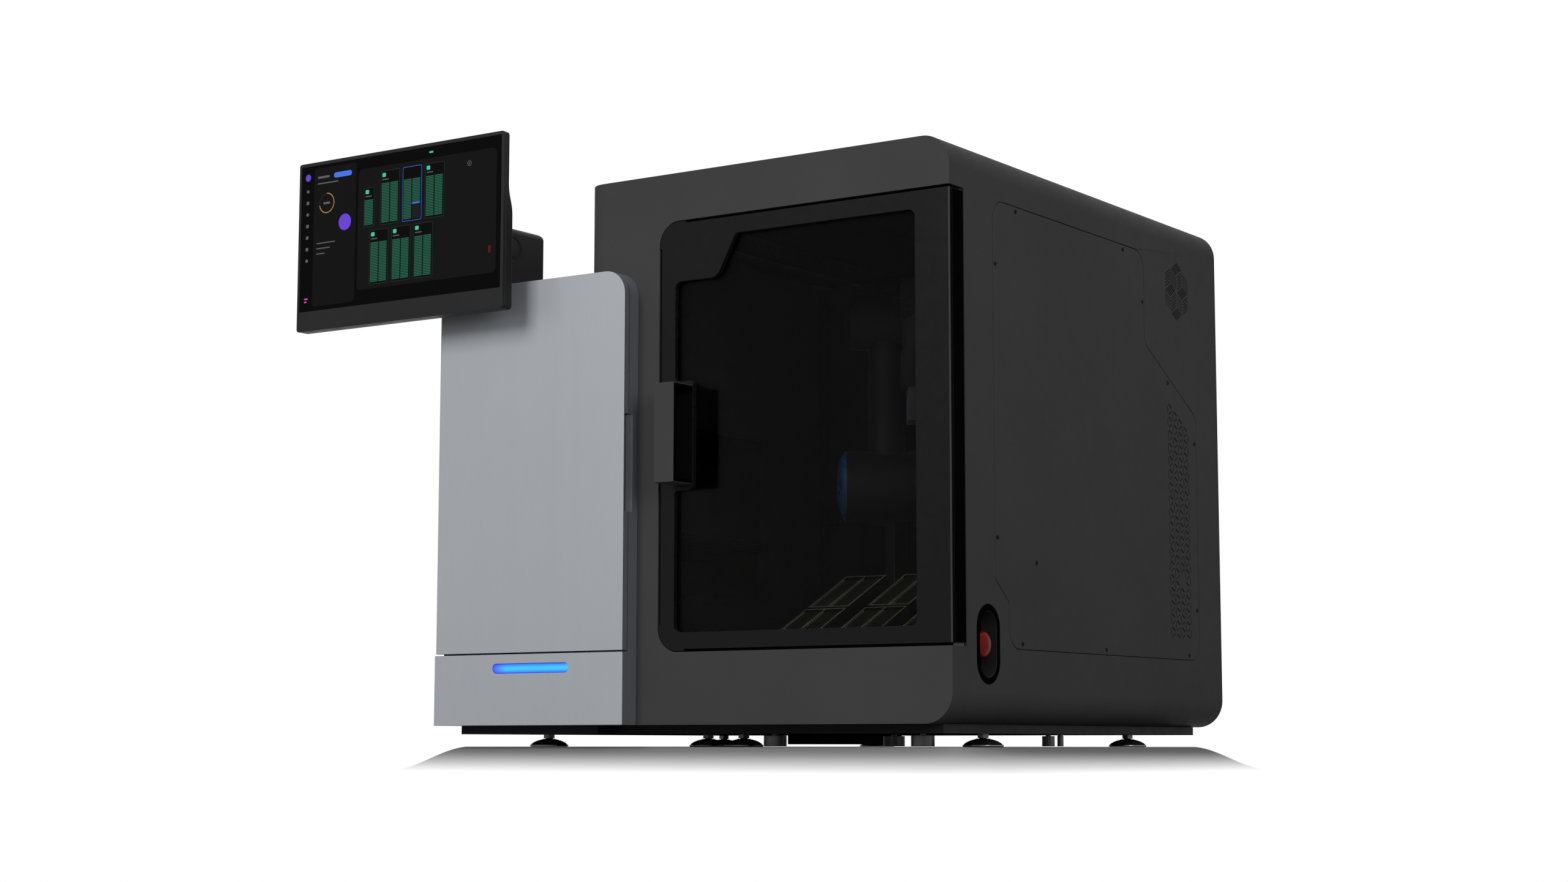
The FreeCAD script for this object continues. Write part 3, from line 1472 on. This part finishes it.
def make_swivel_block():
    left, right, front, rear, low, high = block_limits()
    block = box(left, right, front, rear, low, high)
    top_edges = [edge for edge in block.Edges if abs(edge.BoundBox.ZMin - high) < running_gap
                 and abs(edge.BoundBox.ZMax - high) < running_gap]
    block = block.makeFillet(block_top_radius, top_edges)
    cavity = box(left + block_wall, right - block_wall, front + block_wall, rear - block_wall,
                 low + block_wall, high - block_wall)
    tilt_z = pod_top + tilt_rise
    slot_half = tilt_arm_width / 2 + contact_gap * 4
    slot = box(swivel_x - slot_half, swivel_x + slot_half, front - overrun, tilt_y,
               tilt_z - tilt_slot_height / 2, tilt_z + tilt_slot_height / 2)
    disc_bore = cylinder((left - overrun, tilt_y, tilt_z), (right + overrun, tilt_y, tilt_z),
                         pivot_disc_radius + running_gap)
    plate = cylinder((swivel_x, swivel_y, pod_top), (swivel_x, swivel_y, low + block_wall / 2), swivel_plate_radius)
    pin = cylinder((swivel_x, swivel_y, pod_top - skin), (swivel_x, swivel_y, low + block_wall / 2), swivel_pin_radius)
    return joined([block.cut(cavity).cut(slot).cut(disc_bore), plate, pin])


def make_pivot_discs():
    left, right, front, rear, low, high = block_limits()
    tilt_z = pod_top + tilt_rise
    discs = []
    for start, end in ((left, left + block_wall), (right - block_wall, right)):
        discs.append(cylinder((start, tilt_y, tilt_z), (end, tilt_y, tilt_z), pivot_disc_radius))
    return group(discs)


def make_tilt_arm():
    left, right, front, rear, low, high = block_limits()
    tilt_z = pod_top + tilt_rise
    plate_back = display_thick - display_front + tilt_plate_wall
    half = tilt_arm_width / 2
    axle = cylinder((left + block_wall, tilt_y, tilt_z), (right - block_wall, tilt_y, tilt_z), tilt_axle_radius)
    hub = cylinder((swivel_x - half, tilt_y, tilt_z), (swivel_x + half, tilt_y, tilt_z), tilt_hub_radius)
    arm = box(swivel_x - half, swivel_x + half, plate_back - tilt_plate_wall, tilt_y,
              tilt_z - tilt_arm_height / 2, tilt_z + tilt_arm_height / 2)
    plate = box(swivel_x - tilt_plate_width / 2, swivel_x + tilt_plate_width / 2,
                plate_back - tilt_plate_wall, plate_back, tilt_z - tilt_plate_height / 2,
                tilt_z + tilt_plate_height / 2)
    return joined([axle, hub, arm, plate])


def display_limits():
    """Left, right, bottom and top of the display."""
    return (display_left, display_left + display_width, display_bottom, display_bottom + display_height)


def make_display_back():
    left, right, low, high = display_limits()
    front = bezel_depth - display_front
    slim = display_slim - display_front
    thick = display_thick - display_front
    curve_top = high - display_slim_height
    curve_low = curve_top - display_curve_height
    middle = (curve_top + curve_low) / 2
    half_step = (thick - slim) / 2
    mid_y = (slim + thick) / 2
    sweep = display_curve_height / 4
    points = [FreeCAD.Vector(left, front, low), FreeCAD.Vector(left, front, high), FreeCAD.Vector(left, slim, high),
              FreeCAD.Vector(left, slim, curve_top), FreeCAD.Vector(left, mid_y, middle),
              FreeCAD.Vector(left, thick, curve_low), FreeCAD.Vector(left, thick, low)]
    upper = Part.Arc(points[3], FreeCAD.Vector(left, slim + half_step * 0.25, middle + sweep), points[4]).toShape()
    lower = Part.Arc(points[4], FreeCAD.Vector(left, thick - half_step * 0.25, middle - sweep), points[5]).toShape()
    edges = [Part.makeLine(points[0], points[1]), Part.makeLine(points[1], points[2]),
             Part.makeLine(points[2], points[3]), upper, lower, Part.makeLine(points[5], points[6]),
             Part.makeLine(points[6], points[0])]
    return Part.Face(Part.Wire(edges)).extrude(FreeCAD.Vector(display_width, 0, 0))


def screen_limits():
    """Left, right, bottom and top of the lit panel."""
    left, right, low, high = display_limits()
    top = high - screen_top_margin
    return (left + screen_left_margin, left + screen_left_margin + screen_width, top - screen_height, top)


def make_display_bezel():
    left, right, low, high = display_limits()
    frame = slab_along_y(rectangle(left, right, low, high), [display_corner_radius] * 4, -display_front,
                         bezel_depth - display_front)
    x0, x1, z0, z1 = screen_limits()
    pocket = box(x0 - running_gap, x1 + running_gap, -display_front - overrun, screen_glass - display_front,
                 z0 - running_gap, z1 + running_gap)
    return frame.cut(pocket)


def make_display_screen():
    x0, x1, z0, z1 = screen_limits()
    return box(x0, x1, -display_front, screen_glass - display_front, z0, z1)


# Every node, in the order in which the object is put together
nodes = {
    "front_fascia": make_front_fascia,
    "cabinet_shell": make_cabinet_shell,
    "rear_cover": make_rear_cover,
    "side_panel": make_side_panel,
    "vent_filter": make_vent_filter,
    "fan_filter": make_fan_filter,
    "cover_screws": make_cover_screws,
    "base_tray": make_base_tray,
    "foot_rims": make_foot_rims,
    "foot_pads": make_foot_pads,
    "levelling_studs": make_levelling_studs,
    "levelling_nuts": make_levelling_nuts,
    "transport_posts": make_transport_posts,
    "supply_pan": make_supply_pan,
    "inner_frame": make_inner_frame,
    "deck_plate": make_deck_plate,
    "bulkhead": make_bulkhead,
    "controller_box": make_controller_box,
    "fan_frames": make_fan_frames,
    "upper_fan_rotor": make_upper_fan_rotor,
    "lower_fan_rotor": make_lower_fan_rotor,
    "power_inlet": make_power_inlet,
    "power_switch": make_power_switch,
    "button_recess": make_button_recess,
    "stop_button": make_stop_button,
    "rack_cradle": make_rack_cradle,
    "slide_racks": make_slide_racks,
    "glass_slides": make_glass_slides,
    "robot_base": make_robot_base,
    "robot_turret": make_robot_turret,
    "turret_cap": make_turret_cap,
    "robot_upper_arm": make_robot_upper_arm,
    "arm_caps": make_arm_caps,
    "robot_forearm": make_robot_forearm,
    "robot_gripper": make_robot_gripper,
    "gripper_jaw_left": lambda: jaw(-1),
    "gripper_jaw_right": lambda: jaw(1),
    "scan_base": make_scan_base,
    "scan_column": make_scan_column,
    "stage_table": make_stage_table,
    "focus_head": make_focus_head,
    "door_hinge_brackets": make_door_hinge_brackets,
    "door_frame": make_door_frame,
    "door_glass": make_door_glass,
    "glass_retainer": make_glass_retainer,
    "door_seal": make_door_seal,
    "door_handle": make_door_handle,
    "pod_shell": make_pod_shell,
    "pod_lower_panel": make_pod_lower_panel,
    "status_light": make_status_light,
    "pod_shelves": make_pod_shelves,
    "pod_hinge_brackets": make_pod_hinge_brackets,
    "pod_hinge_pins": make_pod_hinge_pins,
    "pod_door": make_pod_door,
    "swivel_block": make_swivel_block,
    "tilt_arm": make_tilt_arm,
    "pivot_discs": make_pivot_discs,
    "display_back": make_display_back,
    "display_bezel": make_display_bezel,
    "display_screen": make_display_screen,
}

# The row frame's origin: the middle of the footprint, from the display's outer edge to the
# side screws and from the display's front to whatever stands proud of the rear cover
footprint_right = screw_head_height
footprint_back = body_depth + max(screw_head_height, inlet_flange / 2)
origin_x = (footprint_right + display_left) / 2
origin_y = (footprint_back - display_front) / 2
to_row_frame = FreeCAD.Vector(-origin_x, -origin_y, 0)

os.makedirs("parts", exist_ok=True)
for name, make in nodes.items():
    shape = make()
    shape.translate(to_row_frame)
    shape.exportStep("parts/" + name + ".step")
    solids = shape.Solids
    sound = shape.isValid() and all(solid.Volume > 0 for solid in solids)
    print(name, len(solids), "solids", round(shape.Volume / 1000, 1), "cm3", "sound" if sound else "UNSOUND")

print("row origin in the drawing frame", round(origin_x, 3), round(origin_y, 3))
